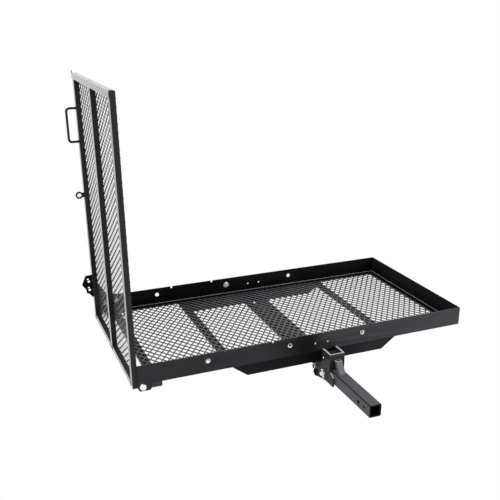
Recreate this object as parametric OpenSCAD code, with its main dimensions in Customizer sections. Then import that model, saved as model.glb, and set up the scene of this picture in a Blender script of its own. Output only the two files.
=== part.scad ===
// Hitch mobility carrier: a railed mesh deck on a folding arm, with a hinged loading ramp at one end.
// Origin: centre of the hitch pin hole. +X runs along the deck away from the ramp, +Y away from the
// vehicle, +Z up. Most sizes are measured in the deck's own frame: x from the ramp end of the long
// rails, y from the outer face of the near rail, z from the underside of the rails.

/* [Deck frame] */
// Length of the long rails
deck_l = 1430; // [1250:10:1700]
// Width over the long rails
deck_w = 712; // [600:4:800]
// Height of the rails
rail_h = 77.5; // [66:0.5:90]
// Width of the rails' bottom leg
rail_leg = 40; // [32:1:50]
// Thickness of the rails
rail_t = 4; // [3:0.5:5]
// Length of bottom leg cut away at the ramp end
leg_setback = 50; // [46:1:60]
// Width of the cross members
cross_w = 40; // [30:1:50]
// Thickness of the cross members
cross_t = 4; // [3:0.5:5]
// Depth of the leg that hangs from a cross member
cross_drop = 24; // [16:1:32]
// Place of the middle cross member
mid_cross_x = 359; // [300:1:362]
// Place of the cross member beside the arm
arm_cross_x = 650; // [560:1:660]
// Place of the cross member near the closed end
end_cross_x = 1058; // [1000:1:1064]

/* [Mesh] */
// Thickness of the expanded sheet
mesh_t = 3; // [2:0.5:4]
// Short way pitch of the mesh
mesh_short = 29; // [24:1:36]
// Long way pitch of the mesh
mesh_long = 40; // [32:1:48]
// Width of a strand
mesh_strand = 5; // [3:0.5:7]
// Pitches that one opening of this solid sheet spans
mesh_step = 2; // [2:1:4]

/* [Rail holes] */
// Diameter of the tie-down holes
tie_hole_d = 19; // [14:0.5:22]
// Place of the first tie-down hole
tie_x1 = 272; // [240:1:300]
// Place of the second tie-down hole
tie_x2 = 942; // [900:1:980]
// Height of the tie-down holes and the rail bolt
tie_z = 47; // [38:1:52]
// Place of the near rail's middle hole and the far rail's bolt
rail_bolt_x = 614; // [560:1:640]
// Diameter of the paired small holes
small_hole_d = 8; // [5:0.5:10]
// Place of the first small hole
small_x = 726; // [700:1:740]
// Spacing of the paired small holes
small_pitch = 56.5; // [40:0.5:70]
// Height of the paired small holes
small_z = 36; // [30:1:44]
// Side of the square notches in the top edge
notch_s = 9; // [6:0.5:12]
// Place of the first notch
notch_x = 342; // [320:1:360]
// Spacing of the notches
notch_pitch = 198; // [150:1:220]

/* [Under-beams] */
// Length of an under-beam at the rail
beam_top_l = 744; // [660:4:820]
// Length of an under-beam at its bottom
beam_bottom_l = 608; // [520:4:650]
// Centre of the under-beams along the deck
beam_x = 740; // [715:5:765]
// Depth of the under-beams
beam_h = 50; // [42:1:54]
// Width of the under-beams
beam_w = 36; // [28:1:44]
// Thickness of the under-beams
beam_t = 4; // [3:0.5:5]
// Distance of the under-beams inside the rails' faces
beam_inset = 6; // [6:0.5:10]

/* [Hitch bar] */
// Side of the square shank
shank_s = 50.8; // [50:0.1:51]
// Wall of the shank
shank_wall = 6.35; // [4:0.05:8]
// Outer corner radius of the shank
shank_round = 6; // [2:0.5:8]
// Diameter of the hitch pin hole
pin_hole_d = 16.5; // [16:0.1:17]
// Hitch pin hole to the open end of the shank
pin_to_end = 78; // [66:1:90]
// Diameter of the stabiliser bolt hole
steady_hole_d = 13; // [10:0.5:14]
// Stabiliser bolt hole to hitch pin hole
steady_pitch = 40; // [34:1:48]
// Hitch pin hole to the face of the near rail
pin_to_rail = 280; // [250:5:360]
// Depth of the shank's axis below the rails
pin_drop = 85; // [84:0.5:88]
// Distance of the shank from the ramp end of the deck
shank_x = 790; // [740:5:830]
// Gap between the shank and the arm
shank_to_arm = 0.5; // [0.3:0.1:1]

/* [Bracket] */
// Thickness of the bracket plate
plate_t = 7.94; // [5:0.01:8.5]
// Height of the bracket's rim above the underside of the rails
rim_z = 9; // [8.5:0.5:12]
// Front face of the bracket to the near rail
web_out = 69; // [66:1:80]
// Reach of the bracket's foot in front of the near rail
foot_out = 99; // [92:1:120]
// Depth of the bracket below the shank
foot_below = 6.5; // [4:0.5:10]
// Gap between the bracket's back edge and the rail
back_gap = 1; // [0.5:0.1:2]
// Width of the brace on the shank
brace_w = 25; // [18:1:32]
// Depth of the brace
brace_d = 16; // [12:1:20]
// Wall of the brace
brace_wall = 3; // [2:0.5:4]
// Angle of the brace above the shank
brace_angle = 55; // [42:1:60]
// Length of the brace along its back
brace_l = 53; // [40:1:56]

/* [Fold pivot] */
// Distance of the pivot in front of the near rail
pivot_out = 30; // [28:0.5:34]
// Depth of the pivot below the underside of the rails
pivot_drop = 4.5; // [4:0.5:8]
// Diameter of the pivot pin
pivot_d = 15.9; // [15:0.1:17]
// Outer diameter of the pivot bush
bush_d = 26; // [24:1:27]
// Gap between the arm and the bracket's cheeks
arm_side_gap = 0.8; // [0.4:0.1:1.2]
// Radial gap of the running bores
running_gap = 0.07; // [0.03:0.01:0.09]
// Radial gap of fixed bolt and pin holes
hole_gap = 0.25; // [0.15:0.05:0.4]

/* [Arm] */
// Height of the arm
arm_h = 54; // [52:0.5:60]
// Wall of the arm
arm_wall = 4; // [3:0.5:6]
// Thickness of the arm's riser plates
riser_t = 8; // [6:0.5:10]

/* [Lock pin, clamp bolt and rest tube] */
// Distance of the lock pin in front of the near rail
lock_out = 25; // [12:0.5:25.5]
// Height of the lock pin above the arm's underside
lock_up = 13; // [12.5:0.5:24]
// Diameter of the lock pin
lock_d = 15.9; // [14:0.1:16]
// Distance of the rest tube behind the near rail's face
rest_back = 44; // [40:1:60]
// Diameter of the rest tube
rest_d = 30; // [26:1:32]
// Gap between the rest tube and the arm
rest_gap = 0.3; // [0.3:0.1:0.6]
// Radius of the bracket's lobe round the rest tube
lobe_r = 18; // [17:0.5:22]
// Distance of the clamp bolt behind the near rail's face
clamp_back = 45; // [36:1:52]
// Height of the clamp bolt above the arm's underside
clamp_up = 14; // [8:0.5:20]
// Diameter of the clamp bolt
clamp_d = 12; // [10:1:14]
// Wire diameter of the lock pin's clip
clip_d = 3.2; // [2.5:0.1:3.5]
// Length of the clip's straight leg
clip_l = 44; // [38:1:50]
// Lean of the clip's top towards the deck
clip_lean = 28; // [0:1:35]

/* [Ramp] */
// Length of the ramp's bars
ramp_l = 1071; // [900:1:1200]
// Width of the ramp's bars
bar_w = 28; // [26:1:36]
// Depth of the ramp's bars
bar_d = 20.5; // [14:0.5:22]
// Wall of the ramp's bars
bar_wall = 1.6; // [1.5:0.1:2.5]
// Height of the ramp's foot and top cross bars
foot_bar_h = 22.5; // [16:0.5:26]
// Lean of the raised ramp away from the deck
ramp_lean = 1.3; // [0:0.1:3]
// Distance that the raised ramp's bars reach in between the rails
ramp_in = 2.5; // [1:0.5:4]
// Gap between the ramp's sides and the rails
ramp_side_gap = 1.6; // [1:0.1:3]
// Distance of the ramp's hinge behind the rail ends
hinge_x = 19; // [18.5:0.5:21]
// Depth of the ramp's hinge below the rails
hinge_drop = 9; // [8:0.5:12]
// Depth of the ramp's foot below the rails
foot_drop = 14; // [10:0.5:16]
// Thickness of the hinge lugs
lug_t = 6; // [4:0.5:8]
// Radius of the hinge lugs
lug_r = 16.5; // [15:0.5:17]
// Height that the lugs reach up the ramp's bars
lug_rise = 38; // [30:1:60]
// Diameter of the hinge bolts
hinge_d = 15.9; // [14:0.1:17]
// Length of the rail ends' ears
ear_l = 54; // [48:1:60]
// Depth of the rail ends' ears below the rails
ear_drop = 27; // [26:0.5:32]
// Height of the lip at the top of the ramp
lip_h = 22; // [18:1:30]
// Thickness of the lip
lip_t = 2.5; // [2:0.5:5]
// Height of the upturned tab at the lip's far end
lip_tab = 12; // [6:1:16]

/* [Ramp handle and eye] */
// Diameter of the handle's round bar
handle_d = 10; // [8:0.5:12]
// Distance of the handle's lower leg from the ramp's top
handle_from_top = 276; // [240:2:330]
// Distance between the handle's legs
handle_pitch = 137; // [110:1:150]
// Reach of the handle from the ramp
handle_reach = 38; // [34:1:50]
// Distance of the eye from the ramp's top
eye_from_top = 503; // [400:1:600]
// Outer diameter of the eye
eye_d = 31; // [27:1:38]
// Hole of the eye
eye_hole_d = 17; // [12:0.5:19]
// Distance of the eye's hole from the ramp's face
eye_reach = 18.5; // [16:0.5:24]
// Thickness of the eye
eye_t = 5; // [4:0.5:6]

/* [Latch plate] */
// Thickness of the latch plate
latch_t = 4; // [3:0.5:5]
// Height of the latch plate above the underside of the rails
latch_top = 184; // [160:2:200]
// Reach of the latch plate beyond the rail ends
latch_reach = 64; // [58:1:72]
// Reach of the latch plate along the rail
latch_back = 95; // [92:1:120]
// Height of the latch plate's lower edge
latch_low = 32; // [24:1:34]
// Diameter of the larger holes in the latch plate
latch_hole_d = 11; // [8:0.5:12]
// Diameter of the smaller holes in the latch plate
latch_small_d = 8; // [6:0.5:9]
// Diameter of the larger bolt that holds the latch plate
latch_bolt_d = 14; // [10:1:16]
// Diameter of the smaller bolt that holds the latch plate
latch_screw_d = 12; // [8:1:12]

/* [Hidden] */
$fn = 48;
black = [0.09, 0.09, 0.1];
charcoal = [0.2, 0.19, 0.21];
zinc = [0.78, 0.78, 0.8];
rubber = [0.03, 0.03, 0.03];
overcut = 1;

// Levels and places in the deck's frame
mesh_z = rail_t;
mesh_x0 = leg_setback;
mesh_y0 = rail_t + 4;
ramp_y0 = rail_t + ramp_side_gap;
ramp_y1 = deck_w - ramp_y0;
ramp_face = ramp_in - bar_d;
arm_w = shank_s - 2*arm_side_gap;
arm_top = -beam_h;
arm_bottom = arm_top - arm_h;
shank_top = shank_s/2 - pin_drop;
shank_back = -35;
arm_front = shank_back + shank_to_arm;
arm_back = deck_w - beam_inset;
lock_drop = -arm_bottom - lock_up;
rest_z = arm_bottom - rest_gap - rest_d/2;
clamp_z = arm_bottom + clamp_up;
foot_z = -pin_drop - shank_s/2 - foot_below;
cheek_out = shank_s/2 + plate_t;
rail_clear = pivot_out - back_gap;

// Fastener proportions: across flats, head height and nut height for a bolt of diameter d
function flats(d) = 1.5*d;
function head_h(d) = 0.625*d;
function nut_h(d) = 0.8*d;
washer_t = 3;
rail_bolt_d = 12;
rail_washer_t = 2;
rail_washer_d = 28;

// A place in the deck's frame
module deck() {
    translate([-shank_x, pin_to_rail, pin_drop]) children();
}

// The raised ramp's frame: the hinge axis is the y axis, and it leans away from the deck
module ramp() {
    deck() translate([hinge_x, 0, -hinge_drop]) rotate([0, -ramp_lean, 0])
        translate([-hinge_x, 0, hinge_drop]) children();
}

// Turns a shape built along z so that it runs along +y
module along_y() {
    rotate([-90, 0, 0]) children();
}

// Turns a shape built along z so that it runs along +x
module along_x() {
    rotate([0, 90, 0]) children();
}

// Extrudes a profile drawn in (y, z) along x, centred on the shank
module side_profile(width) {
    rotate([90, 0, 90]) translate([0, 0, -width/2]) linear_extrude(width) children();
}

// Extrudes a profile drawn in (x, z) towards +y
module front_profile(depth) {
    translate([0, depth, 0]) rotate([90, 0, 0]) linear_extrude(depth) children();
}

// Mirrors the near side's parts to the far side
module far_side() {
    translate([0, deck_w, 0]) mirror([0, 1, 0]) children();
}

module both_sides() {
    children();
    far_side() children();
}

module tube(size, wall) {
    difference() {
        cube(size);
        translate([wall, wall, -overcut]) cube([size[0] - 2*wall, size[1] - 2*wall, size[2] + 2*overcut]);
    }
}

module hex(d, h) {
    cylinder(d = flats(d)/cos(30), h = h, $fn = 6);
}

module ring(d, hole, h) {
    difference() {
        cylinder(d = d, h = h);
        translate([0, 0, -overcut]) cylinder(d = hole, h = h + 2*overcut);
    }
}

// Bolt along +z from under its head at z = 0
module bolt(d, grip) {
    translate([0, 0, -head_h(d)]) hex(d, head_h(d));
    cylinder(d = d, h = grip);
}

module nut(d) {
    difference() {
        hex(d, nut_h(d));
        translate([0, 0, -overcut]) cylinder(d = d, h = nut_h(d) + 2*overcut);
    }
}

// Sheet from (0, 0) to (l, w), open in staggered diamonds of the given pitch
module lattice(l, w, pitch_l, pitch_w, strand, thick) {
    nl = max(2, round(l/pitch_l));
    nw = max(2, round(w/pitch_w));
    pl = l/nl;
    pw = w/nw;
    // A strand as wide as asked leaves each diamond this share of its cell
    open = 1 - strand/(pl*pw/norm([pl, pw]));
    places = concat(
        [for (i = [0:nl - 1], j = [0:nw - 1]) [(i + 0.5)*pl, (j + 0.5)*pw]],
        [for (i = [1:nl - 1], j = [1:nw - 1]) [i*pl, j*pw]]
    );
    corners = [[-pl, 0], [0, -pw], [pl, 0], [0, pw]]*open/2;
    linear_extrude(thick) difference() {
        square([l, w]);
        for (p = places) translate(p) polygon(corners);
    }
}

// One long rail: an angle with a hanging ear at the ramp end, and its holes
module long_rail(middle_hole_d) {
    difference() {
        union() {
            cube([deck_l, rail_t, rail_h]);
            translate([leg_setback, 0, 0]) cube([deck_l - leg_setback - rail_t, rail_leg, rail_t]);
            front_profile(rail_t) polygon([
                [0, overcut], [0, -foot_drop], [8, -ear_drop], [ear_l - 8, -ear_drop],
                [ear_l, 8 - ear_drop], [ear_l, overcut]
            ]);
        }
        for (x = [tie_x1, tie_x2]) rail_hole(x, tie_z, tie_hole_d);
        for (x = [small_x, small_x + small_pitch]) rail_hole(x, small_z, small_hole_d);
        for (x = [notch_x, notch_x + notch_pitch]) {
            translate([x - notch_s/2, -overcut, rail_h - notch_s])
                cube([notch_s, rail_t + 2*overcut, notch_s + overcut]);
        }
        rail_hole(rail_bolt_x, tie_z, middle_hole_d);
        rail_hole(hinge_x, -hinge_drop, hinge_d + 2*hole_gap);
    }
}

module rail_hole(x, z, d) {
    translate([x, -overcut, z]) along_y() cylinder(d = d, h = rail_t + 2*overcut);
}

module near_rail() {
    color(charcoal) deck() long_rail(tie_hole_d);
}

module far_rail() {
    color(black) deck() difference() {
        far_side() long_rail(rail_bolt_d + 2*hole_gap);
        for (p = latch_fixings) {
            translate([p[0], deck_w - rail_t - overcut, p[1]]) along_y()
                cylinder(d = p[2] + 2*hole_gap, h = rail_t + 2*overcut);
        }
    }
}

module end_rail() {
    color(black) deck() {
        translate([deck_l - rail_t, rail_t, 0]) cube([rail_t, deck_w - 2*rail_t, rail_h]);
        translate([deck_l - rail_leg, rail_leg, 0])
            cube([rail_leg - rail_t + overcut, deck_w - 2*rail_leg, rail_t]);
    }
}

// An angle bar across the deck between the rails' bottom legs, with its second leg hanging
module cross_member(x) {
    leg_y = max(rail_leg, beam_inset + beam_w) + 4;
    translate([x, rail_leg, rail_t - cross_t]) cube([cross_w, deck_w - 2*rail_leg, cross_t]);
    translate([x + cross_w - cross_t, leg_y, -cross_drop])
        cube([cross_t, deck_w - 2*leg_y, cross_drop + rail_t]);
}

module ramp_end_cross_member() {
    color(black) deck() cross_member(leg_setback);
}

module middle_cross_member() {
    color(black) deck() cross_member(mid_cross_x);
}

module arm_cross_member() {
    color(black) deck() cross_member(arm_cross_x);
}

module closed_end_cross_member() {
    color(black) deck() cross_member(end_cross_x);
}

module deck_mesh() {
    color(black) deck() translate([mesh_x0, mesh_y0, mesh_z])
        lattice(deck_l - mesh_x0 - rail_t - 4, deck_w - 2*mesh_y0,
            mesh_short*mesh_step, mesh_long*mesh_step, mesh_strand*mesh_step, mesh_t);
}

// A pressed channel with sloping ends, open at the top where it meets the rail
module under_beam() {
    top = beam_top_l/2;
    low = beam_bottom_l/2;
    slope = (top - low)/beam_h;
    side_t = beam_t*norm([1, slope]);
    translate([beam_x, beam_inset, 0]) {
        front_profile(beam_w) polygon([
            [-top, 0], [-low, -beam_h], [low, -beam_h], [top, 0], [top - side_t, 0],
            [low - side_t + slope*beam_t, beam_t - beam_h], [side_t - low - slope*beam_t, beam_t - beam_h],
            [side_t - top, 0]
        ]);
        front_profile(beam_t) polygon([[-top, 0], [-low, -beam_h], [low, -beam_h], [top, 0]]);
    }
}

module near_under_beam() {
    color(black) deck() under_beam();
}

module far_under_beam() {
    color(black) deck() far_side() under_beam();
}

block_l = 37;
block_w = 30;
block_h = 20;

// Rubber blocks under the rails' bottom legs, behind the hinge ears
module end_blocks() {
    color(rubber) deck() both_sides()
        translate([ear_l + 2, 1, -block_h]) cube([block_l, block_w, block_h]);
}

rail_bolt_back = deck_w - rail_t - rail_washer_t;

// The far rail's bolt comes from outside, with its washer and nut on the rail's inner face
module rail_bolt() {
    past_nut = 2;
    color(zinc) deck() translate([rail_bolt_x, deck_w, tie_z]) along_y() mirror([0, 0, 1])
        bolt(rail_bolt_d, rail_t + rail_washer_t + nut_h(rail_bolt_d) + past_nut);
}

module rail_washer() {
    color(zinc) deck() translate([rail_bolt_x, rail_bolt_back, tie_z]) along_y()
        ring(rail_washer_d, rail_bolt_d, rail_washer_t);
}

module rail_nut() {
    color(zinc) deck() translate([rail_bolt_x, rail_bolt_back, tie_z]) along_y() mirror([0, 0, 1])
        nut(rail_bolt_d);
}

lug_back = ramp_y0 + lug_t;
washer_d = 1.75*hinge_d;
slack = 0.1;
hinge_grip = lug_back + washer_t + nut_h(hinge_d) + 3;
hinge_head = 7;

module hinge_bolts() {
    color(zinc) deck() both_sides()
        translate([hinge_x, 0, -hinge_drop]) along_y() {
            translate([0, 0, -hinge_head]) cylinder(d1 = washer_d - 5, d2 = washer_d, h = hinge_head);
            cylinder(d = hinge_d, h = hinge_grip);
        }
}

module hinge_washers() {
    color(zinc) deck() both_sides() {
        translate([hinge_x, rail_t, -hinge_drop]) along_y() ring(washer_d, hinge_d, ramp_side_gap - slack);
        translate([hinge_x, lug_back + slack, -hinge_drop]) along_y()
            ring(washer_d, hinge_d, washer_t - slack);
    }
}

module hinge_nuts() {
    color(zinc) deck() both_sides()
        translate([hinge_x, lug_back + washer_t, -hinge_drop]) along_y() nut(hinge_d);
}

// Fixings of the latch plate: x, z and diameter
latch_fixings = [[latch_back - 17, 54, latch_bolt_d], [latch_back/3, 50, latch_screw_d]];
// Empty holes of the latch plate: x, z and diameter
latch_holes = [
    [-0.58*latch_reach, latch_top - 0.3*latch_reach, latch_small_d],
    [-0.52*latch_reach, latch_top - 0.47*latch_reach, latch_hole_d],
    [-0.55*latch_reach, latch_top - 0.91*latch_reach, latch_small_d],
    [-0.5*latch_reach, latch_top - 1.09*latch_reach, latch_hole_d]
];

module latch_plate() {
    color(black) deck() translate([0, deck_w, 0]) difference() {
        front_profile(latch_t) polygon([
            [-0.73*latch_reach, latch_top - 2], [-0.31*latch_reach, latch_top], [0.7*latch_reach, rail_h],
            [latch_back, rail_h], [latch_back, latch_low], [0.12*latch_reach, latch_low],
            [-0.34*latch_reach, 2.5*latch_low], [-0.56*latch_reach, latch_top - 1.34*latch_reach],
            [-0.69*latch_reach, latch_top - 1.33*latch_reach],
            [-0.75*latch_reach, latch_top - 1.02*latch_reach],
            [-latch_reach, latch_top - 0.67*latch_reach]
        ]);
        for (p = concat(latch_fixings, latch_holes)) {
            translate([p[0], -overcut, p[1]]) along_y()
                cylinder(d = p[2] + 2*hole_gap, h = latch_t + 2*overcut);
        }
    }
}

module latch_bolts() {
    color(zinc) deck() for (p = latch_fixings) {
        translate([p[0], deck_w + latch_t, p[1]]) along_y() mirror([0, 0, 1])
            bolt(p[2], latch_t + rail_t + 1.1*p[2]);
    }
}

module latch_nuts() {
    color(zinc) deck() for (p = latch_fixings) {
        translate([p[0], deck_w - rail_t, p[1]]) along_y() mirror([0, 0, 1]) nut(p[2]);
    }
}

// Drop of the lock pin's path, seen from the arm, as the arm swings up
lock_y = pivot_out - lock_out;
lock_z = lock_drop - pivot_drop;
lock_sag = norm([lock_y, lock_z]) - lock_z;

module support_arm() {
    color(black) deck() translate([shank_x, 0, 0]) difference() {
        translate([-arm_w/2, arm_front, arm_bottom]) cube([arm_w, arm_back - arm_front, arm_h]);
        translate([-arm_w/2 + arm_wall, arm_front - overcut, arm_bottom + arm_wall])
            cube([arm_w - 2*arm_wall, arm_back - arm_front + 2*overcut, arm_h - 2*arm_wall]);
        // Slot for the lock pin, open to the front so that the arm swings off it
        translate([-arm_w/2 - overcut, -lock_out, -lock_drop]) along_x()
            cylinder(d = lock_d + 2*hole_gap, h = arm_w + 2*overcut);
        translate([-arm_w/2 - overcut, arm_front - overcut, -lock_drop - lock_sag - lock_d/2 - hole_gap])
            cube([arm_w + 2*overcut, -lock_out - arm_front + overcut, lock_d + 2*hole_gap + lock_sag]);
    }
}

module arm_end_cap() {
    color(rubber) deck() translate([shank_x - arm_w/2, arm_back, arm_bottom]) cube([arm_w, 3, arm_h]);
}

// Two plates that stand on the arm's front end and carry the pivot bush
module arm_riser() {
    color(black) deck() translate([shank_x, 0, 0]) difference() {
        for (side = [-1, 1]) translate([side*(arm_w - riser_t)/2, 0, 0]) side_profile(riser_t) {
            polygon([
                [arm_front, arm_top], [-pivot_out - bush_d/2, -pivot_drop], [-pivot_out, -pivot_drop],
                [-pivot_out, bush_d/2 - pivot_drop], [0, bush_d/2 - pivot_drop], [0, -back_gap],
                [beam_inset - 1, -back_gap], [beam_inset - 1, arm_top]
            ]);
            translate([-pivot_out, -pivot_drop]) circle(d = bush_d);
        }
        translate([-arm_w, -pivot_out, -pivot_drop]) along_x() cylinder(d = bush_d - 6, h = 2*arm_w);
    }
}

module pivot_bush() {
    color(black) deck() translate([shank_x - arm_w/2, -pivot_out, -pivot_drop]) along_x()
        ring(bush_d - 6, pivot_d + 2*running_gap, arm_w);
}

module rounded_square(s, r) {
    translate([r - s/2, -s/2]) square([s - 2*r, s]);
    translate([-s/2, r - s/2]) square([s, s - 2*r]);
    for (x = [-1, 1], y = [-1, 1]) translate([x*(s/2 - r), y*(s/2 - r)]) circle(r);
}

module shank_tube() {
    back = pin_to_rail + shank_back;
    color(charcoal) difference() {
        translate([0, -pin_to_end, 0]) along_y() linear_extrude(pin_to_end + back) difference() {
            rounded_square(shank_s, shank_round);
            rounded_square(shank_s - 2*shank_wall, max(0.5, shank_round - shank_wall));
        }
        translate([-shank_s, 0, 0]) along_x() cylinder(d = pin_hole_d, h = 2*shank_s);
        translate([-shank_s, -steady_pitch, 0]) along_x() cylinder(d = steady_hole_d, h = 2*shank_s);
    }
}

// Side outline of the bracket's cheeks in (y, z); its back edge clears the near rail as the deck swings up
module cheek_outline() {
    polygon([
        [-web_out, rim_z], [-web_out, shank_top], [-web_out - 6, shank_top - 6], [-foot_out, shank_top - 20],
        [-foot_out, foot_z], [-foot_out/3, foot_z], [rest_back - 0.5*lobe_r, rest_z - 0.8*lobe_r],
        [rest_back + 0.7*lobe_r, rest_z + 0.6*lobe_r], [clamp_back + clamp_d, clamp_z + 0.7*clamp_d],
        [-back_gap, arm_top - 4], [-back_gap, -pivot_drop], [-pivot_out, -pivot_drop], [-pivot_out, rim_z]
    ]);
    translate([rest_back, rest_z]) circle(lobe_r);
    intersection() {
        translate([-pivot_out, -pivot_drop]) circle(rail_clear);
        translate([-pivot_out, -pivot_drop]) square([2*rail_clear, rim_z + pivot_drop]);
    }
}

module cross_bore(y, z, d) {
    translate([-2*shank_s, y, z]) along_x() cylinder(d = d, h = 4*shank_s);
}

// Bore through the cheek on the ramp's side only
module near_cheek_bore(y, z, d) {
    translate([-2*shank_s, y, z]) along_x() cylinder(d = d, h = 2*shank_s);
}

module hitch_bracket() {
    color(charcoal) deck() translate([shank_x, 0, 0]) difference() {
        union() {
            for (side = [-1, 1]) translate([side*(shank_s + plate_t)/2, 0, 0])
                side_profile(plate_t) cheek_outline();
            translate([-shank_s/2 - 0.01, -web_out, shank_top])
                cube([shank_s + 0.02, plate_t, rim_z - shank_top]);
        }
        cross_bore(-pivot_out, -pivot_drop, pivot_d + 2*hole_gap);
        cross_bore(-lock_out, -lock_drop, lock_d + 2*hole_gap);
        cross_bore(rest_back, rest_z, rest_d + 2*hole_gap);
        near_cheek_bore(-keeper_out, -keeper_drop, keeper_d);
        near_cheek_bore(clamp_back, clamp_z, clamp_d + 2*hole_gap);
    }
}

// Depth of the brace's back edge that is cut upright to bear on the bracket
brace_bite = 3;

// A box, cut level at both ends, that leans from the top of the shank on to the bracket's front
module shank_brace() {
    foot_y = brace_bite - web_out - brace_l*cos(brace_angle);
    color(charcoal) deck() translate([shank_x, 0, 0]) difference() {
        side_profile(brace_w) brace_outline(foot_y, 0);
        side_profile(brace_w - 2*brace_wall) brace_outline(foot_y, brace_wall);
        translate([-brace_w, -web_out, shank_top]) cube([2*brace_w, 2*brace_bite, 2*brace_l]);
    }
}

module brace_outline(foot_y, inset) {
    reach = (brace_d - 2*inset)/sin(brace_angle);
    run = [cos(brace_angle), sin(brace_angle)];
    past = inset > 0 ? overcut : 0;
    low = [foot_y - inset/sin(brace_angle), shank_top] - run*past;
    high = low + run*(brace_l + 2*past);
    polygon([low, high, high - [reach, 0], low - [reach, 0]]);
}

keeper_d = 5;
keeper_out = 18;
keeper_drop = 23.5;
flag_t = 2;
pin_tail = 8;
groove_x = 3;
groove_w = 2;

// Headed pin with a flag plate that a small screw keeps from turning
module pivot_pin() {
    flag_d = bush_d - 4;
    along = [pivot_out - keeper_out, pivot_drop - keeper_drop];
    side = [-along[1], along[0]]/norm(along);
    color(black) deck() translate([shank_x - cheek_out, -pivot_out, -pivot_drop]) difference() {
        union() {
            translate([-flag_t/2, 0, 0]) side_profile(flag_t) {
                circle(d = flag_d);
                translate(along) circle(d = 2*keeper_d);
                polygon([side*flag_d/2, -side*flag_d/2, along - side*keeper_d, along + side*keeper_d]);
            }
            along_x() cylinder(d = pivot_d, h = 2*cheek_out + pin_tail);
        }
        translate([-flag_t - overcut, along[0], along[1]]) along_x()
            cylinder(d = keeper_d + 2*hole_gap, h = flag_t + 2*overcut);
        translate([2*cheek_out + groove_x, 0, 0]) along_x() ring(pivot_d + 4, pivot_d - 3, groove_w);
    }
}

module pivot_keeper_screw() {
    color(zinc) deck() translate([shank_x - cheek_out - flag_t, -keeper_out, -keeper_drop]) along_x() {
        translate([0, 0, -1.5]) cylinder(d1 = 0.9*keeper_d, d2 = 1.3*keeper_d, h = 1.5);
        cylinder(d = keeper_d - 0.02, h = flag_t + plate_t);
    }
}

module pivot_retaining_ring() {
    color(zinc) deck() translate([shank_x + cheek_out + groove_x, -pivot_out, -pivot_drop]) along_x()
        ring(pivot_d + 8, pivot_d - 3, groove_w);
}

rest_wall = 3;
rest_past = 3;

// Cross tube that the arm lies on
module rest_tube() {
    color(black) deck() translate([shank_x - cheek_out - rest_past, rest_back, rest_z]) along_x()
        ring(rest_d, rest_d - 2*rest_wall, 2*cheek_out + 2*rest_past);
}

clamp_past = 3;

// Bolt that steadies the arm through a nut on the cheek's outside
module clamp_bolt() {
    shaft = clamp_past + nut_h(clamp_d) + plate_t;
    color(zinc) deck() translate([shank_x - shank_s/2 - shaft, clamp_back, clamp_z]) along_x()
        bolt(clamp_d, shaft);
}

module clamp_nut() {
    color(zinc) deck() translate([shank_x - cheek_out - nut_h(clamp_d), clamp_back, clamp_z]) along_x()
        nut(clamp_d);
}

lock_tip = 15;
clip_x = 8;
pull_bend = 8;
pull_d = 8;
pull_l = 36;

// Round pin with a cross hole for the clip at the near end and a bent pull handle at the other
module lock_pin() {
    color(zinc) deck() translate([shank_x, -lock_out, -lock_drop]) {
        difference() {
            translate([-cheek_out - lock_tip, 0, 0]) along_x()
                cylinder(d = lock_d, h = 2*cheek_out + lock_tip + 5);
            translate([-cheek_out - clip_x, 0, 0]) rotate([-clip_lean, 0, 0]) translate([0, 0, -lock_d])
                cylinder(d = clip_d + 2*hole_gap, h = 2*lock_d);
        }
        translate([cheek_out + 0.5, 0, 0]) along_x() cylinder(d = lock_d + 6, h = 4);
        translate([cheek_out + 4, 0, 0]) along_x() cylinder(d = pull_d, h = 4);
        translate([cheek_out + 8, 0, pull_bend]) rotate([90, 0, 0]) rotate([0, 0, -90])
            rotate_extrude(angle = 90)
            translate([pull_bend, 0]) circle(d = pull_d);
        translate([cheek_out + 8 + pull_bend, 0, pull_bend]) cylinder(d = pull_d, h = pull_l);
    }
}

clip_gap = lock_d/2 + clip_d/2 + 0.3;

// Hairpin clip: a leg through the pin's cross hole and a shorter leg in front of the pin
module lock_clip() {
    loop_r = clip_gap/2;
    top = clip_l*0.3;
    color(zinc) deck() translate([shank_x - cheek_out - clip_x, -lock_out, -lock_drop])
        rotate([-clip_lean, 0, 0]) {
            translate([0, 0, top - clip_l]) cylinder(d = clip_d, h = clip_l);
            translate([0, -loop_r, top]) rotate([90, 0, 90]) rotate_extrude(angle = 180)
                translate([loop_r, 0]) circle(d = clip_d);
            translate([0, -clip_gap, top - 0.7*clip_l]) cylinder(d = clip_d, h = 0.7*clip_l);
        }
}

// One lengthwise bar of the ramp, from its foot up
module ramp_bar(y) {
    color(black) ramp() translate([ramp_face, y, -foot_drop]) tube([bar_d, bar_w, ramp_l], bar_wall);
}

module ramp_near_bar() {
    ramp_bar(ramp_y0);
}

module ramp_middle_bar() {
    ramp_bar((deck_w - bar_w)/2);
}

module ramp_far_bar() {
    ramp_bar(ramp_y1 - bar_w);
}

// Two short cross bars between the lengthwise bars, at a height above the ramp's foot
module ramp_cross_bars(z) {
    bay = (deck_w - bar_w)/2 - ramp_y0 - bar_w;
    color(black) ramp() for (y = [ramp_y0 + bar_w, (deck_w + bar_w)/2]) {
        translate([ramp_face, y, z - foot_drop]) difference() {
            cube([bar_d, bay, foot_bar_h]);
            translate([bar_wall, -overcut, bar_wall])
                cube([bar_d - 2*bar_wall, bay + 2*overcut, foot_bar_h - 2*bar_wall]);
        }
    }
}

module ramp_foot_bars() {
    ramp_cross_bars(0);
}

module ramp_top_bars() {
    ramp_cross_bars(ramp_l - foot_bar_h);
}

module ramp_lip() {
    color(charcoal) ramp() translate([ramp_face - lip_t, ramp_y0, ramp_l - foot_drop - lip_h]) {
        cube([lip_t, ramp_y1 - ramp_y0, lip_h]);
        translate([0, ramp_y1 - ramp_y0 - 6, 0]) cube([lip_t, 6, lip_h + lip_tab]);
    }
}

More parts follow.
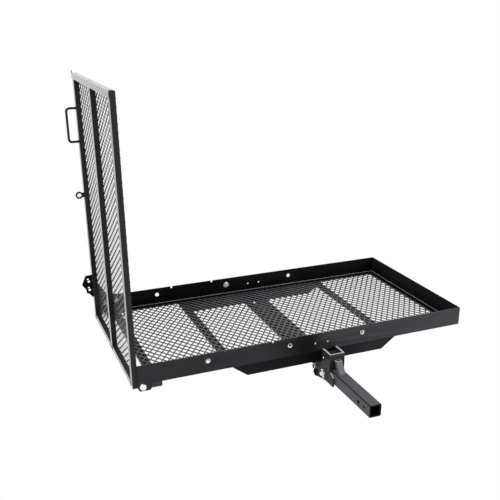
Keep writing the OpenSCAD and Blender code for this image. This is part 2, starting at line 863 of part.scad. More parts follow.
ramp_mesh_inset = 9;
ramp_mesh_foot = 15;

module ramp_mesh() {
    l = ramp_l - ramp_mesh_foot - ramp_mesh_inset;
    w = ramp_y1 - ramp_y0 - 2*ramp_mesh_inset;
    color(black) ramp() translate([ramp_in + mesh_t, ramp_y0 + ramp_mesh_inset, ramp_mesh_foot - foot_drop])
        rotate([0, -90, 0])
            lattice(l, w, mesh_short*mesh_step, mesh_long*mesh_step, mesh_strand*mesh_step, mesh_t);
}

module ramp_hinge_lugs() {
    color(black) ramp() both_sides() translate([0, ramp_y0, 0]) difference() {
        union() {
            front_profile(lug_t) polygon([
                [ramp_in, -foot_drop], [hinge_x, -hinge_drop - lug_r],
                [hinge_x + 0.7*lug_r, 0.7*lug_r - hinge_drop], [ramp_in, lug_rise]
            ]);
            translate([hinge_x, 0, -hinge_drop]) along_y() cylinder(r = lug_r, h = lug_t);
        }
        translate([hinge_x, -overcut, -hinge_drop]) along_y()
            cylinder(d = hinge_d + 2*running_gap, h = lug_t + 2*overcut);
    }
}

handle_bend_r = 12;
handle_edge = 8;

// Round-bar loop with its two legs on the far bar
module ramp_handle() {
    color(black) ramp() translate([ramp_face, ramp_y1 - handle_edge, ramp_l - handle_from_top - foot_drop]) {
        for (z = [0, handle_pitch]) translate([handle_bend_r - handle_reach, 0, z]) along_x()
            cylinder(d = handle_d, h = handle_reach - handle_bend_r);
        translate([-handle_reach, 0, handle_bend_r])
            cylinder(d = handle_d, h = handle_pitch - 2*handle_bend_r);
        translate([handle_bend_r - handle_reach, 0, handle_pitch - handle_bend_r]) rotate([90, 0, 0])
            rotate([0, 0, 90]) rotate_extrude(angle = 90) translate([handle_bend_r, 0]) circle(d = handle_d);
        translate([handle_bend_r - handle_reach, 0, handle_bend_r]) rotate([90, 0, 0])
            rotate([0, 0, 180]) rotate_extrude(angle = 90) translate([handle_bend_r, 0]) circle(d = handle_d);
    }
}

eye_edge = 10;
eye_neck = 20;

// Ring on a short neck on the far bar's face; a large ring sits further out, clear of the bar
module ramp_eye() {
    along = ramp_l - eye_from_top - foot_drop;
    eye_out = max(eye_reach, eye_d/2);
    color(black) ramp() translate([ramp_face, ramp_y1 - eye_edge, along]) difference() {
        union() {
            translate([-eye_out, 0, 0]) along_y() cylinder(d = eye_d, h = eye_t);
            translate([-eye_out, 0, -eye_neck/2]) cube([eye_out, eye_t, eye_neck]);
        }
        translate([-eye_out, -overcut, 0]) along_y() cylinder(d = eye_hole_d, h = eye_t + 2*overcut);
    }
}

near_rail();
far_rail();
end_rail();
ramp_end_cross_member();
middle_cross_member();
arm_cross_member();
closed_end_cross_member();
deck_mesh();
near_under_beam();
far_under_beam();
end_blocks();
rail_bolt();
rail_washer();
rail_nut();
hinge_bolts();
hinge_washers();
hinge_nuts();
latch_plate();
latch_bolts();
latch_nuts();
support_arm();
arm_end_cap();
arm_riser();
pivot_bush();
shank_tube();
hitch_bracket();
shank_brace();
pivot_pin();
pivot_keeper_screw();
pivot_retaining_ring();
rest_tube();
clamp_bolt();
clamp_nut();
lock_pin();
lock_clip();
ramp_near_bar();
ramp_middle_bar();
ramp_far_bar();
ramp_foot_bars();
ramp_top_bars();
ramp_lip();
ramp_mesh();
ramp_hinge_lugs();
ramp_handle();
ramp_eye();
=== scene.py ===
"""Looks of the hitch mobility carrier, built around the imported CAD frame."""
import math

import bpy
import numpy as np
from mathutils import Matrix, Vector


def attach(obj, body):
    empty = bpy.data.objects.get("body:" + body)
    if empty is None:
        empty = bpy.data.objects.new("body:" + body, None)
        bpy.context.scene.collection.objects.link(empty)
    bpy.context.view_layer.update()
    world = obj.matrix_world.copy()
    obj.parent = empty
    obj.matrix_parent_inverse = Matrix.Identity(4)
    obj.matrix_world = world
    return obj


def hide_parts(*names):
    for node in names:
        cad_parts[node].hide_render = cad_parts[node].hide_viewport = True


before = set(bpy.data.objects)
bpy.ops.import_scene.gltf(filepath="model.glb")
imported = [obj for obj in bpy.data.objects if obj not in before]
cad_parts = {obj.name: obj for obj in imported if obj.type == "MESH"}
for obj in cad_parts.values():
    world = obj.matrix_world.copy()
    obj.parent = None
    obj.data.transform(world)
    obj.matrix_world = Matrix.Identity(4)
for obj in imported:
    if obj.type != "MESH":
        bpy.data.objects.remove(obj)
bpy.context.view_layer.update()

MM = 0.001
# The deck's frame starts at the near rail's outer lower corner, at the deck's open end. This is
# that corner in the shared frame, in mm. Every length below is in mm in the deck's frame, unless
# its comment says metres.
DECK_ORIGIN = np.array([-790.0, 280.0, 85.0])
DECK_W = 712
RAIL_T = 4
RAMP_HINGE = np.array([19.0, 0.0, -9.0])
RAMP_LEAN = math.radians(1.3)
RAMP_SIDE_GAP = 5.6
RAMP_L, RAMP_W = 1071.0, DECK_W - 2 * RAMP_SIDE_GAP
RAMP_FOOT = -14.0
RAMP_TOP = RAMP_FOOT + RAMP_L
# The faces of the ramp's bars away from the deck and towards it
RAMP_OUT, RAMP_IN = -18.0, 2.5


def deck(p):
    """Shared-frame metres of points given in the deck's frame in mm."""
    return (np.asarray(p, float) + DECK_ORIGIN) * MM


def ramp(p):
    """Shared-frame metres of points of the upright ramp, given in the deck's frame in mm."""
    q = np.asarray(p, float) - RAMP_HINGE
    c, s = math.cos(RAMP_LEAN), math.sin(RAMP_LEAN)
    turn = np.array([[c, 0, -s], [0, 1, 0], [s, 0, c]])
    return deck(q @ turn.T + RAMP_HINGE)


# Camera, solved from the deck's edges and the 2 in shank

CAMERA_PLACE = (-520.28, -2301.45, 1314.88)
CAMERA_DEGREES = {"yaw": 22.672, "pitch": 18.782, "roll": -0.239}
SENSOR_MM, LENS_MM = 36.0, 51.81
CLIP_METRES = (0.05, 60)


def make_camera():
    yaw, pitch, roll = (math.radians(a) for a in CAMERA_DEGREES.values())
    forward = Vector((math.sin(yaw) * math.cos(pitch), math.cos(yaw) * math.cos(pitch),
                      -math.sin(pitch)))
    right = Vector((math.cos(yaw), -math.sin(yaw), 0))
    down = forward.cross(right)
    right, down = (math.cos(roll) * right + math.sin(roll) * down,
                   math.cos(roll) * down - math.sin(roll) * right)
    data = bpy.data.cameras.new("camera")
    data.sensor_width = SENSOR_MM
    data.lens = LENS_MM
    data.clip_start, data.clip_end = CLIP_METRES
    cam = bpy.data.objects.new("camera", data)
    turn = Matrix((right, -down, -forward)).transposed().to_4x4()
    cam.matrix_world = Matrix.Translation(Vector(deck(CAMERA_PLACE))) @ turn
    bpy.context.collection.objects.link(cam)
    bpy.context.scene.camera = cam


make_camera()


# Materials

class Nodes:
    """A short way to write one material's node tree."""

    def __init__(self, name):
        self.mat = bpy.data.materials.new(name)
        self.mat.use_nodes = True
        self.tree = self.mat.node_tree
        self.bsdf = self.tree.nodes["Principled BSDF"]
        self.coords = self.add("ShaderNodeTexCoord").outputs["Object"]

    def add(self, kind, **values):
        node = self.tree.nodes.new(kind)
        for key, value in values.items():
            if hasattr(node, key):
                setattr(node, key, value)
            else:
                node.inputs[key.replace("_", " ")].default_value = value
        return node

    def link(self, a, b):
        self.tree.links.new(a, b)

    def noise(self, scale, detail=3.0, roughness=0.55):
        node = self.add("ShaderNodeTexNoise", Scale=scale, Detail=detail, Roughness=roughness)
        self.link(self.coords, node.inputs["Vector"])
        return node.outputs["Fac"]

    def remap(self, value, low, high, start=0.3, end=0.7):
        """Turns the range from start to end into the range from low to high."""
        node = self.add("ShaderNodeMapRange")
        node.inputs["From Min"].default_value = start
        node.inputs["From Max"].default_value = end
        node.inputs["To Min"].default_value = low
        node.inputs["To Max"].default_value = high
        self.link(value, node.inputs["Value"])
        return node.outputs["Result"]

    def mix(self, fac, a, b):
        """Colour a where fac is 0 and colour b where it is 1."""
        node = self.add("ShaderNodeMix", data_type="RGBA")
        self.link(fac, node.inputs["Factor"])
        for socket, value in ((node.inputs[6], a), (node.inputs[7], b)):
            if isinstance(value, tuple):
                socket.default_value = (*value, 1)
            else:
                self.link(value, socket)
        return node.outputs[2]

    def bump(self, height, strength, distance):
        node = self.add("ShaderNodeBump", Strength=strength, Distance=distance)
        self.link(height, node.inputs["Height"])
        self.link(node.outputs["Normal"], self.bsdf.inputs["Normal"])

    def math(self, operation, a, b=0.0):
        node = self.add("ShaderNodeMath", operation=operation)
        for socket, value in zip(node.inputs, (a, b)):
            if isinstance(value, float):
                socket.default_value = value
            else:
                self.link(value, socket)
        return node.outputs[0]

    def axes(self, source=None):
        node = self.add("ShaderNodeSeparateXYZ")
        self.link(source or self.coords, node.inputs[0])
        return node.outputs

    def edge(self):
        """1 on sharp outer edges, where paint wears thin."""
        point = self.add("ShaderNodeNewGeometry").outputs["Pointiness"]
        return self.remap(point, 0.0, 1.0, start=0.5, end=0.62)


# How much lighter a worn edge is than its coat
WEAR_GAIN, WEAR_LIFT = 2.2, 0.01


def paint(name, dark, light, rough, ior, marks=()):
    """Powder coat: fine orange peel, slow colour drift, and edges that catch the light.

    Each mark is a mask and the colour that it lays over the coat."""
    n = Nodes(name)
    drift = n.remap(n.noise(scale=9.0, detail=4.0), 0.0, 1.0)
    body = n.mix(drift, dark, light)
    worn = tuple(c * WEAR_GAIN + WEAR_LIFT for c in light)
    body = n.mix(n.edge(), body, worn)
    for mask, colour in marks:
        body = n.mix(mask(n), body, colour)
    n.link(body, n.bsdf.inputs["Base Color"])
    n.link(n.remap(n.noise(scale=60.0, detail=3.0), *rough), n.bsdf.inputs["Roughness"])
    n.bsdf.inputs["IOR"].default_value = ior
    n.bump(n.noise(scale=900.0, detail=2.0, roughness=0.5), strength=0.12, distance=0.0004)
    return n.mat


# Masks: x and z are metres in the shared frame, whose origin is on the shank's centre line

def bore(n):
    """1 inside the 2 in tube, in its holes and on its cut end, where shade is painted into the
    coat.
    """
    under_skin = 0.0246
    x, _, z = n.axes()
    reach = n.math("MAXIMUM", n.math("ABSOLUTE", x), n.math("ABSOLUTE", z))
    return n.math("LESS_THAN", reach, under_skin)


def corner(n):
    """1 along the tube's upper corner, where a dark reflection is painted into the coat."""
    corner_x, corner_z = -0.0216, 0.0236
    x, _, z = n.axes()
    return n.math("MULTIPLY", n.math("LESS_THAN", x, corner_x),
                  n.math("GREATER_THAN", z, corner_z))


def upward(n):
    """1 on faces that look up, such as a plate's cut top edge, where a bare edge and a painted
    highlight are laid.
    """
    least_rise = 0.8
    normal = n.tree.nodes["Texture Coordinate"].outputs["Normal"]
    return n.math("GREATER_THAN", n.axes(normal)[2], least_rise)


def beyond_hitch(n):
    """Painted light: 0 at the hitch, up to 1 towards the beam's closed end and 0.8 towards its open
    end.
    """
    x = n.axes()[0]
    return n.math("MAXIMUM", n.remap(x, 0.0, 1.0, start=-0.02, end=0.2),
                  n.remap(x, 0.0, 0.8, start=-0.12, end=-0.4))


def beside_hitch(n):
    """Up to 0.85 on the stretch of rail before the hitch, where painted shade darkens the coat."""
    x = n.axes()[0]
    return n.math("MINIMUM", n.remap(x, 0.0, 0.85, start=-0.3, end=-0.12),
                  n.remap(x, 0.0, 0.85, start=-0.01, end=-0.08))


def coated(mat, ior, rough):
    """Lays a clear coat over a paint."""
    bsdf = mat.node_tree.nodes["Principled BSDF"]
    bsdf.inputs["Coat Weight"].default_value = 1.0
    bsdf.inputs["Coat IOR"].default_value = ior
    bsdf.inputs["Coat Roughness"].default_value = rough
    return mat


def metal(name, dark, light, rough):
    """Zinc plate: bright metal with faint spangle and turning marks."""
    n = Nodes(name)
    spangle = n.add("ShaderNodeTexVoronoi", Scale=260.0)
    n.link(n.coords, spangle.inputs["Vector"])
    fleck = n.remap(spangle.outputs["Distance"], 0.0, 1.0, start=0.0, end=0.8)
    n.link(n.mix(fleck, dark, light), n.bsdf.inputs["Base Color"])
    n.link(n.remap(n.noise(scale=220.0, detail=4.0), *rough), n.bsdf.inputs["Roughness"])
    n.bsdf.inputs["Metallic"].default_value = 1.0
    n.bump(n.noise(scale=700.0, detail=3.0), strength=0.1, distance=0.0003)
    return n.mat


def rubber(name, dark, light, rough):
    """Dull rubber with a coarse grain."""
    n = Nodes(name)
    drift = n.remap(n.noise(scale=40.0), 0.0, 1.0)
    n.link(n.mix(drift, dark, light), n.bsdf.inputs["Base Color"])
    n.link(n.remap(n.noise(scale=120.0), *rough), n.bsdf.inputs["Roughness"])
    n.bump(n.noise(scale=1400.0, detail=2.0), strength=0.25, distance=0.0005)
    return n.mat


# Bare metal on cut edges and a painted highlight, laid on every face that looks up
BARE_EDGE_AND_HIGHLIGHT = (0.5, 0.48, 0.5)
# Painted light: the near under-beam is painted lighter away from the hitch
BEAM_END_PAINTED_LIGHT = (0.02, 0.0187, 0.0208)
# Painted shade on the near rail beside the hitch
RAIL_PAINTED_SHADE = (0.0005, 0.0005, 0.0005)
# Painted reflection: a dark line along the shank's upper corner
SHANK_CORNER_PAINTED_REFLECTION = (0.004, 0.004, 0.0045)
# Painted shade inside the shank, in its holes and on its cut end
BORE_PAINTED_SHADE = (0.0006, 0.0006, 0.0006)

BLACK = paint("black_powder_coat", dark=(0.0018, 0.0018, 0.002), light=(0.0038, 0.0037, 0.0042),
              rough=(0.25, 0.35), ior=1.08)
BEAM = paint("beam_powder_coat", dark=(0.0025, 0.0025, 0.0027), light=(0.005, 0.0049, 0.0054),
             rough=(0.3, 0.4), ior=1.09, marks=[(beyond_hitch, BEAM_END_PAINTED_LIGHT)])
GLOSS = paint("black_gloss_coat", dark=(0.004, 0.0038, 0.0045), light=(0.007, 0.0066, 0.008),
              rough=(0.14, 0.22), ior=1.2)
coated(GLOSS, ior=1.22, rough=0.1)
LIP = paint("lip_gloss_coat", dark=(0.006, 0.0055, 0.0065), light=(0.01, 0.009, 0.011),
            rough=(0.14, 0.22), ior=1.25)
coated(LIP, ior=1.27, rough=0.1)
CHARCOAL = paint("charcoal_powder_coat", dark=(0.02, 0.0187, 0.0212),
                 light=(0.027, 0.0253, 0.0286), rough=(0.3, 0.4), ior=1.18,
                 marks=[(beside_hitch, RAIL_PAINTED_SHADE)])
HITCH_COAT = {"dark": (0.026, 0.024, 0.027), "light": (0.035, 0.032, 0.0365),
              "rough": (0.3, 0.45), "ior": 1.2}
SHANK = paint("shank_powder_coat", **HITCH_COAT,
              marks=[(corner, SHANK_CORNER_PAINTED_REFLECTION), (bore, BORE_PAINTED_SHADE)])
HITCH = paint("hitch_powder_coat", **HITCH_COAT)
BRACKET = paint("bracket_powder_coat", dark=(0.015, 0.014, 0.0155), light=(0.021, 0.0195, 0.022),
                rough=(0.3, 0.45), ior=1.18, marks=[(upward, BARE_EDGE_AND_HIGHLIGHT)])
# A lighter copy of the hitch coat, as painted light on the shank's brace and the sheet's border
# lines
PAINTED_LIGHT_COAT = paint("painted_light_powder_coat", dark=(0.055, 0.052, 0.057), light=(0.075, 0.07, 0.078),
             rough=(0.3, 0.45), ior=1.25, marks=[(upward, BARE_EDGE_AND_HIGHLIGHT)])
SHEET = paint("black_sheet_coat", dark=(0.022, 0.02, 0.023), light=(0.034, 0.031, 0.036),
              rough=(0.2, 0.3), ior=1.5)
RAMP_SHEET = paint("ramp_sheet_coat", dark=(0.008, 0.0074, 0.0085), light=(0.014, 0.0128, 0.015),
                   rough=(0.25, 0.35), ior=1.3)
ZINC = metal("zinc_plate", dark=(0.4, 0.4, 0.42), light=(0.93, 0.93, 0.95), rough=(0.16, 0.3))
BRIGHT_ZINC = metal("bright_zinc_plate", dark=(0.86, 0.86, 0.88), light=(0.99, 0.99, 0.99),
                    rough=(0.2, 0.3))
RUBBER = rubber("rubber", dark=(0.012, 0.012, 0.013), light=(0.03, 0.03, 0.031),
                rough=(0.6, 0.8))

NODE_MATERIALS = {
    CHARCOAL: "near_rail",
    SHANK: "shank_tube",
    BRACKET: "hitch_bracket",
    PAINTED_LIGHT_COAT: "shank_brace",
    HITCH: "pivot_pin",
    BEAM: "near_under_beam",
    BLACK: "far_rail end_rail ramp_end_cross_member middle_cross_member arm_cross_member "
           "closed_end_cross_member far_under_beam latch_plate support_arm arm_riser pivot_bush "
           "pivot_retaining_ring ramp_hinge_lugs rest_tube",
    GLOSS: "ramp_handle ramp_eye ramp_near_bar ramp_middle_bar ramp_far_bar ramp_foot_bars "
           "ramp_top_bars",
    LIP: "ramp_lip",
    SHEET: "deck_mesh ramp_mesh",
    BRIGHT_ZINC: "hinge_bolts rail_bolt clamp_bolt clamp_nut lock_clip",
    ZINC: "rail_washer rail_nut hinge_washers hinge_nuts latch_bolts latch_nuts "
          "pivot_keeper_screw lock_pin",
    RUBBER: "end_blocks arm_end_cap",
}
# The nodes that show a rounded edge, by its width
EDGES = {
    0.4: "rail_bolt rail_nut",
    0.5: "latch_plate latch_bolts latch_nuts clamp_bolt clamp_nut pivot_pin lock_pin",
    0.6: "ramp_hinge_lugs arm_riser arm_end_cap hinge_bolts hinge_nuts",
    0.7: "ramp_near_bar ramp_middle_bar ramp_far_bar ramp_foot_bars ramp_top_bars ramp_lip",
    0.8: "near_rail far_rail end_rail hitch_bracket shank_brace ramp_end_cross_member "
         "middle_cross_member arm_cross_member closed_end_cross_member",
    1.0: "end_blocks",
    1.2: "near_under_beam far_under_beam",
    1.5: "support_arm",
}
# Points closer than this, in metres, are joined before the edges are rounded
WELD_METRES = 0.00002
SHARP_DEGREES = 40


def finish_nodes():
    for material, names in NODE_MATERIALS.items():
        for name in names.split():
            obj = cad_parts[name]
            obj.data.materials.clear()
            obj.data.materials.append(material)
    for width, names in EDGES.items():
        for name in names.split():
            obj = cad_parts[name]
            weld = obj.modifiers.new("join", "WELD")
            weld.merge_threshold = WELD_METRES
            bevel = obj.modifiers.new("edge", "BEVEL")
            bevel.width = width * MM
            bevel.segments = 2
            bevel.limit_method = "ANGLE"
            bevel.angle_limit = math.radians(SHARP_DEGREES)


finish_nodes()


# Pieces

def mesh_piece(name, verts, faces, body, material, smooth=False):
    """A mesh object from points in shared-frame metres, which rides on a CAD body."""
    mesh = bpy.data.meshes.new(name)
    mesh.from_pydata([tuple(v) for v in verts], [], faces)
    mesh.validate()
    mesh.update()
    if smooth:
        mesh.shade_smooth()
    mesh.materials.append(material)
    obj = bpy.data.objects.new(name, mesh)
    bpy.context.collection.objects.link(obj)
    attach(obj, body)
    return obj


# Corners of one strand's two end faces and its four sides
STRAND_FACES = ((3, 2, 1, 0), (4, 5, 6, 7), (0, 1, 5, 4), (1, 2, 6, 5), (2, 3, 7, 6), (3, 0, 4, 7))
# Corners of the six faces of a box whose corners count up by x, then y, then z
BOX_FACES = ((0, 2, 3, 1), (4, 5, 7, 6), (0, 1, 5, 4), (1, 3, 7, 5), (3, 2, 6, 7), (2, 0, 4, 6))


def strands(length, width, short, long, strand, thick, tilt, trim=(0, 0, 0)):
    """Expanded sheet from (0, 0) to (length, width): straight strands between staggered bonds.

    Each strand is twisted about its own run by the tilt in degrees, with the edge towards
    +length raised, as cut and drawn metal is. The trim is cut from the sheet's far end, its
    first side and its other side."""
    cells_l, cells_w = round(length / short), round(width / long)
    cell_l, cell_w = length / cells_l, width / cells_w
    lean = math.radians(tilt)
    normal = np.array([0, 0, 1.0])
    low, high = np.array([0, trim[1]]), np.array([length - trim[0], width - trim[2]])
    verts, faces = [], []
    for i in range(2 * cells_l):
        for j in range(2 * cells_w):
            # Bonds lie where i + j is odd, and each square between them holds one strand
            up = (i + j) % 2 == 1
            a = np.array([i * cell_l / 2, (j if up else j + 1) * cell_w / 2, 0])
            b = np.array([(i + 1) * cell_l / 2, (j + 1 if up else j) * cell_w / 2, 0])
            if (np.maximum(a, b)[:2] <= low).any() or (np.minimum(a, b)[:2] >= high).any():
                continue
            run = (b - a) / np.linalg.norm(b - a)
            flat = np.array([abs(run[1]), -run[0] if run[1] > 0 else run[0], 0])
            across = (math.cos(lean) * flat + math.sin(lean) * normal) * strand / 2
            through = (math.cos(lean) * normal - math.sin(lean) * flat) * thick / 2
            lift = (abs(math.sin(lean)) * strand + math.cos(lean) * thick) / 2 * normal
            base = len(verts)
            for end in (a + lift, b + lift):
                verts += [end + across + through, end - across + through,
                          end - across - through, end + across - through]
            faces += [[base + k for k in face] for face in STRAND_FACES]
    verts = np.array(verts)
    verts[:, :2] = np.clip(verts[:, :2], low, high)
    return verts, faces


def boxes(corners):
    """Plain boxes, each given by its lowest and its highest corner."""
    verts, faces = [], []
    for lo, hi in corners:
        base = len(verts)
        verts += [(x, y, z) for z in (lo[2], hi[2]) for y in (lo[1], hi[1]) for x in (lo[0], hi[0])]
        faces += [[base + k for k in face] for face in BOX_FACES]
    return np.array(verts, float), faces


def rims(places, inner, outer, sides=32):
    """Thin rings in the rails' round holes, given by the centres of their near faces."""
    verts, faces = [], []
    for x, y, z in places:
        base = len(verts)
        for radius, back in ((outer, 0), (inner, 0), (inner, RAIL_T), (outer, RAIL_T)):
            for k in range(sides):
                t = 2 * math.pi * k / sides
                verts.append((x + radius * math.cos(t), y + back, z + radius * math.sin(t)))
        for loop in range(4):
            a, b = base + loop * sides, base + (loop + 1) % 4 * sides
            faces += [[a + k, a + (k + 1) % sides, b + (k + 1) % sides, b + k]
                      for k in range(sides)]
    return np.array(verts, float), faces


# Expanded sheets: the fine diamonds that the CAD meshes show at twice the pitch

SHEET_X, SHEET_Y, SHEET_Z = (50, 1422), (8, 704), 4
v, f = strands(SHEET_X[1] - SHEET_X[0], SHEET_Y[1] - SHEET_Y[0], short=29.0, long=40.0,
               strand=5.5, thick=1.8, tilt=14, trim=(29, 29, 29))
v += [SHEET_X[0], SHEET_Y[0], SHEET_Z]
deck_sheet = mesh_piece("deck_expanded_sheet", deck(v), f, "platform", SHEET)
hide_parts("deck_mesh")

BORDER_W, BORDER_Z = 1.8, (4.2, 6.6)


def border():
    """Thin lines on the rails' legs, along the sheet's cut edges, in a lighter coat as a painted
    highlight.
    """
    (x0, x1), (y0, y1), (z0, z1) = SHEET_X, SHEET_Y, BORDER_Z
    y_in, y_out = y0 + BORDER_W, y1 - BORDER_W
    return boxes([((x0, y0, z0), (x1, y_in, z1)), ((x0, y_out, z0), (x1, y1, z1)),
                  ((x0, y_in, z0), (x0 + BORDER_W, y_out, z1)),
                  ((x1 - BORDER_W, y_in, z0), (x1, y_out, z1))])


v, f = border()
mesh_piece("deck_sheet_border_highlight", deck(v), f, "platform", PAINTED_LIGHT_COAT)

# How far the ramp's sheet stays inside the ramp's foot, top and sides, and behind its bars
RAMP_SHEET_FOOT, RAMP_SHEET_TOP, RAMP_SHEET_SIDE, RAMP_SHEET_BACK = 15, 9, 9, 3.0
v, f = strands(RAMP_L - RAMP_SHEET_FOOT - RAMP_SHEET_TOP, RAMP_W - 2 * RAMP_SHEET_SIDE,
               short=27.8, long=40.0, strand=5.4, thick=1.45, tilt=14)
v = np.stack([RAMP_IN + RAMP_SHEET_BACK - v[:, 2], v[:, 1] + RAMP_SIDE_GAP + RAMP_SHEET_SIDE,
              v[:, 0] + RAMP_FOOT + RAMP_SHEET_FOOT], axis=1)
ramp_sheet = mesh_piece("ramp_expanded_sheet", ramp(v), f, "ramp", RAMP_SHEET)
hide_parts("ramp_mesh")


# Small plates and rims

# The plates close the tops of the ramp's middle and far bars
PLATE_X, PLATE_W, PLATE_Z = (-16.2, 0.7), 24.4, (1055.7, 1056.8)
PLATES_Y = (343.8, 680.2)
v, f = boxes([((PLATE_X[0], y, PLATE_Z[0]), (PLATE_X[1], y + PLATE_W, PLATE_Z[1]))
              for y in PLATES_Y])
mesh_piece("ramp_bar_end_plates", ramp(v), f, "ramp", LIP)

# Bright zinc rims in the rails' holes: partly bare cut edge, partly painted highlight
# The rims stand 0.1 mm out of the rails' outer faces
RIM_PROUD = 0.1
NEAR_Y, FAR_Y = -RIM_PROUD, DECK_W + RIM_PROUD - RAIL_T
TIE_HOLES_X, RAIL_BOLT_X, TIE_HOLE_Z = (272, 942), 614, 47
SMALL_HOLES_X, SMALL_HOLE_Z = (726, 782.5), 36
tie_holes = [(x, y, TIE_HOLE_Z) for x in TIE_HOLES_X for y in (NEAR_Y, FAR_Y)]
v, f = rims(tie_holes + [(RAIL_BOLT_X, NEAR_Y, TIE_HOLE_Z)], inner=8.1, outer=9.45)
mesh_piece("tie_hole_highlight_rims", deck(v), f, "platform", BRIGHT_ZINC)
small_holes = [(x, y, SMALL_HOLE_Z) for x in SMALL_HOLES_X for y in (NEAR_Y, FAR_Y)]
v, f = rims(small_holes, inner=2.7, outer=3.95, sides=20)
mesh_piece("small_hole_highlight_rims", deck(v), f, "platform", BRIGHT_ZINC)


# Weld beads

BEAD_SIDES = 7
# Length of one ripple, how many rings of points shape it, and the fewest rings on a straight run
RIPPLE, RIPPLE_RINGS, LEAST_RINGS = 2.6, 3, 4
# Shares of the bead's radius: its mean, its ripple, its slow unevenness and its tapered ends
MEAN_SHARE, RIPPLE_SHARE, UNEVEN_SHARE, END_SHARE = 0.82, 0.18, 0.06, 0.45
UNEVEN_TURN = 0.37
# A direction that no bead runs along
OFF_RUN = (0.3, 0.5, 0.81)


def bead(verts, faces, path, radius):
    """Adds one rippled bead along a path of points."""
    path = [np.asarray(q, float) for q in path]
    rings = []
    for a, b in zip(path, path[1:]):
        steps = max(LEAST_RINGS, int(np.linalg.norm(b - a) / RIPPLE * RIPPLE_RINGS))
        rings += [(a + (b - a) * k / steps, (b - a) / np.linalg.norm(b - a)) for k in range(steps)]
    rings.append((path[-1], rings[-1][1]))
    base, count = len(verts), len(rings)
    for k, (centre, run) in enumerate(rings):
        side = np.cross(run, OFF_RUN)
        side /= np.linalg.norm(side)
        up = np.cross(run, side)
        ripple = RIPPLE_SHARE * math.cos(2 * math.pi * k / RIPPLE_RINGS)
        uneven = UNEVEN_SHARE * math.sin(k * UNEVEN_TURN)
        swell = radius * (MEAN_SHARE + ripple + uneven)
        swell *= END_SHARE if k in (0, count - 1) else 1.0
        for m in range(BEAD_SIDES):
            t = 2 * math.pi * m / BEAD_SIDES
            verts.append(centre + swell * (math.cos(t) * side + math.sin(t) * up))
    for k in range(count - 1):
        this, that = base + k * BEAD_SIDES, base + (k + 1) * BEAD_SIDES
        for m in range(BEAD_SIDES):
            n = (m + 1) % BEAD_SIDES
            faces.append([this + m, that + m, that + n, this + n])
    for first in (base, base + (count - 1) * BEAD_SIDES):
        cap = list(range(first, first + BEAD_SIDES))
        faces.append(cap if first == base else cap[::-1])


def beads(name, paths, place, body, material):
    """One piece from many beads, each given by its path and its radius."""
    verts, faces = [], []
    for path, radius in paths:
        bead(verts, faces, path, radius)
    verts = place(np.array(verts))
    return mesh_piece(name, verts, faces, body, material, smooth=True)


def seam(x, y, z, radius):
    """A straight bead: the coordinate that is given as a pair is the one that it runs along."""
    path = [[v[k] if isinstance(v, tuple) else v for v in (x, y, z)] for k in (0, 1)]
    return path, radius


def ring(x, y, z, turn_radius, radius, steps=18):
    """A bead around a round piece whose axis runs along X."""
    turns = [2 * math.pi * k / steps for k in range(steps + 1)]
    path = [(x, y + turn_radius * math.cos(t), z + turn_radius * math.sin(t)) for t in turns]
    return path, radius


def bracket_welds():
    """Beads of the shank, its brace and the rest tube."""
    shank_x, shank_half, shank_top = 790.0, 25.4, -59.6
    web_y, web_half = -69.0, 25
    brace_half, brace_y = 12.5, (-97, -115)
    rest_out, rest_y, rest_z, rest_radius = 33.4, 44, -119.3, 15.2
    # y and z of the points along a cheek's front edge
    cheek_edge = ((-73, shank_top - 4), (-99, -81), (-99, -106))
    welds = []
    for side in (-1, 1):
        x = shank_x + side * shank_half
        welds.append(([(x, y, z) for y, z in cheek_edge], 2.2))
        welds.append(seam(shank_x + side * brace_half, brace_y, shank_top, radius=1.6))
        welds.append(ring(shank_x + side * rest_out, rest_y, rest_z, rest_radius, radius=1.3,
                          steps=28))
    welds.append(seam((shank_x - web_half, shank_x + web_half), web_y, shank_top, radius=2.0))
    return welds


def deck_welds():
    """Beads of the rails, the under-beams, the arm and the cross members."""
    end_rail_x, rail_faces, rail_z = 1426, (4.0, 708.0), (6, 74)
    stitches_x = (372, 492, 668, 752, 838, 988, 1108)
    stitch_l, stitch_faces, stitch_z = 26, (6.5, 705.5), -0.3
    arm_sides, beam_faces, arm_z = (764.6, 815.4), (6, 42, 670, 706), (-52, -64)
    riser_y, riser_z = (-26, 4), -50
    members_x, member_faces = (50, 359, 650, 1058), (40, 672)
    member_start, member_end = 2, 34
    welds = [seam(end_rail_x, y, rail_z, radius=2.2) for y in rail_faces]
    for x in stitches_x:
        welds += [seam((x, x + stitch_l), y, stitch_z, radius=2.0) for y in stitch_faces]
    for x in arm_sides:
        welds += [seam(x, y, arm_z, radius=2.2) for y in beam_faces]
        welds.append(seam(x, riser_y, riser_z, radius=2.2))
    for x in members_x:
        welds += [seam((x + member_start, x + member_end), y, 0, radius=1.8)
                  for y in member_faces]
    return welds


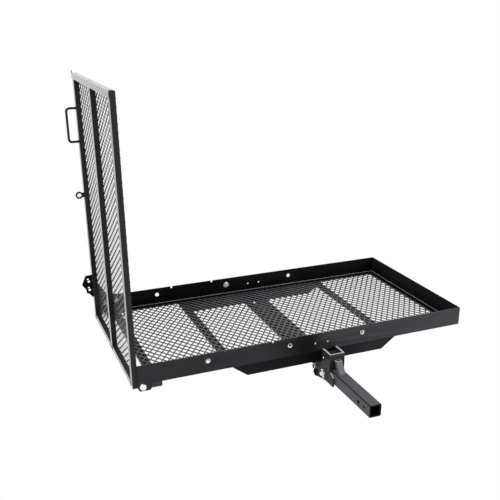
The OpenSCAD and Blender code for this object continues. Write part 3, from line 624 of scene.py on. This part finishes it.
def ramp_welds():
    """Beads of the ramp's bars, its hinge lugs, its handle and its eye."""
    bar_edges = (33.6, 342.0, 370.0, 678.4)
    foot, top = (RAMP_FOOT + 1, RAMP_FOOT + 21), (RAMP_TOP - 21, RAMP_TOP - 1)
    lug_x, lug_sides, lug_starts, lug_l = 2.3, (11.3, 700.7), (2, 14), 9
    handle_y, handle_ends, handle_radius = 698.4, (781.0, 918.0), 5.4
    eye_sides, eye_z = (696.2, 701.4), (544, 564)
    welds = []
    for y in bar_edges:
        welds += [seam(RAMP_OUT, y, foot, radius=1.5), seam(RAMP_IN, y, foot, radius=1.5),
                  seam(RAMP_IN, y, top, radius=1.5)]
    welds += [seam(lug_x, y, (z, z + lug_l), radius=1.8) for y in lug_sides for z in lug_starts]
    welds += [ring(RAMP_OUT, handle_y, z, handle_radius, radius=1.7) for z in handle_ends]
    welds += [seam(RAMP_OUT, y, eye_z, radius=1.6) for y in eye_sides]
    return welds


beads("bracket_weld_beads", bracket_welds(), deck, "hitch_bar", CHARCOAL)
beads("deck_weld_beads", deck_welds(), deck, "platform", BLACK)
beads("ramp_weld_beads", ramp_welds(), ramp, "ramp", BLACK)


# Floor, backdrop and light

FLOOR_HALF_METRES, FLOOR_LEVEL_METRES = 8.0, -0.45
FLOOR_COLOUR = (0.8, 0.8, 0.8, 1)
SKY_COLOUR, SKY_STRENGTH = (0.93, 0.93, 1.0, 1), 0.36
BACKDROP_COLOUR = (1, 1, 1, 1)


def seen_directly(tree):
    """1 for camera, glossy and transmission rays."""
    path = tree.nodes.new("ShaderNodeLightPath")
    total = path.outputs["Is Camera Ray"]
    for name in ("Is Glossy Ray", "Is Transmission Ray"):
        node = tree.nodes.new("ShaderNodeMath")
        node.operation = "MAXIMUM"
        tree.links.new(total, node.inputs[0])
        tree.links.new(path.outputs[name], node.inputs[1])
        total = node.outputs[0]
    return total


def show_white(tree, lit, white, out):
    """Shows one shader to the light and the other, plain white, to the eye and in reflections."""
    mix = tree.nodes.new("ShaderNodeMixShader")
    tree.links.new(seen_directly(tree), mix.inputs[0])
    tree.links.new(lit.outputs[0], mix.inputs[1])
    tree.links.new(white.outputs[0], mix.inputs[2])
    tree.links.new(mix.outputs[0], out.inputs["Surface"])


def floor_material():
    mat = bpy.data.materials.new("pale_floor")
    mat.use_nodes = True
    tree = mat.node_tree
    tree.nodes.clear()
    pale = tree.nodes.new("ShaderNodeBsdfDiffuse")
    pale.inputs["Color"].default_value = FLOOR_COLOUR
    show_white(tree, pale, tree.nodes.new("ShaderNodeEmission"),
               tree.nodes.new("ShaderNodeOutputMaterial"))
    return mat


def make_stage():
    half, level = FLOOR_HALF_METRES, FLOOR_LEVEL_METRES
    corners = [(-half, -half, level), (half, -half, level), (half, half, level),
               (-half, half, level)]
    mesh = bpy.data.meshes.new("floor")
    mesh.from_pydata(corners, [], [(0, 1, 2, 3)])
    mesh.materials.append(floor_material())
    floor = bpy.data.objects.new("floor", mesh)
    bpy.context.collection.objects.link(floor)
    world = bpy.data.worlds.new("studio")
    bpy.context.scene.world = world
    world.use_nodes = True
    tree = world.node_tree
    sky = tree.nodes["Background"]
    sky.inputs["Color"].default_value = SKY_COLOUR
    sky.inputs["Strength"].default_value = SKY_STRENGTH
    backdrop = tree.nodes.new("ShaderNodeBackground")
    backdrop.inputs["Color"].default_value = BACKDROP_COLOUR
    show_white(tree, sky, backdrop, tree.nodes["World Output"])


def area(name, place, target, size, power, colour=(1, 1, 1)):
    """A square lamp, with its place, target and size in metres and its power in watts."""
    data = bpy.data.lights.new(name, "AREA")
    data.shape, data.size, data.energy, data.color = "SQUARE", size, power, colour
    lamp = bpy.data.objects.new(name, data)
    lamp.location = place
    lamp.rotation_euler = (Vector(target) - Vector(place)).to_track_quat("-Z", "Y").to_euler()
    bpy.context.collection.objects.link(lamp)


make_stage()
area("key", place=(-1.9, -0.1, 3.4), target=(-0.1, 0.3, 0.0), size=1.6, power=95)
area("fill", place=(1.25, -0.75, 0.55), target=(0.3, 0.3, 0.1), size=0.8, power=20)
area("rim", place=(-2.2, 3.2, -0.2), target=(-0.6, 0.4, 0.5), size=1.2, power=5,
     colour=(1.0, 0.8, 0.98))

bpy.context.scene.view_settings.view_transform = "Standard"
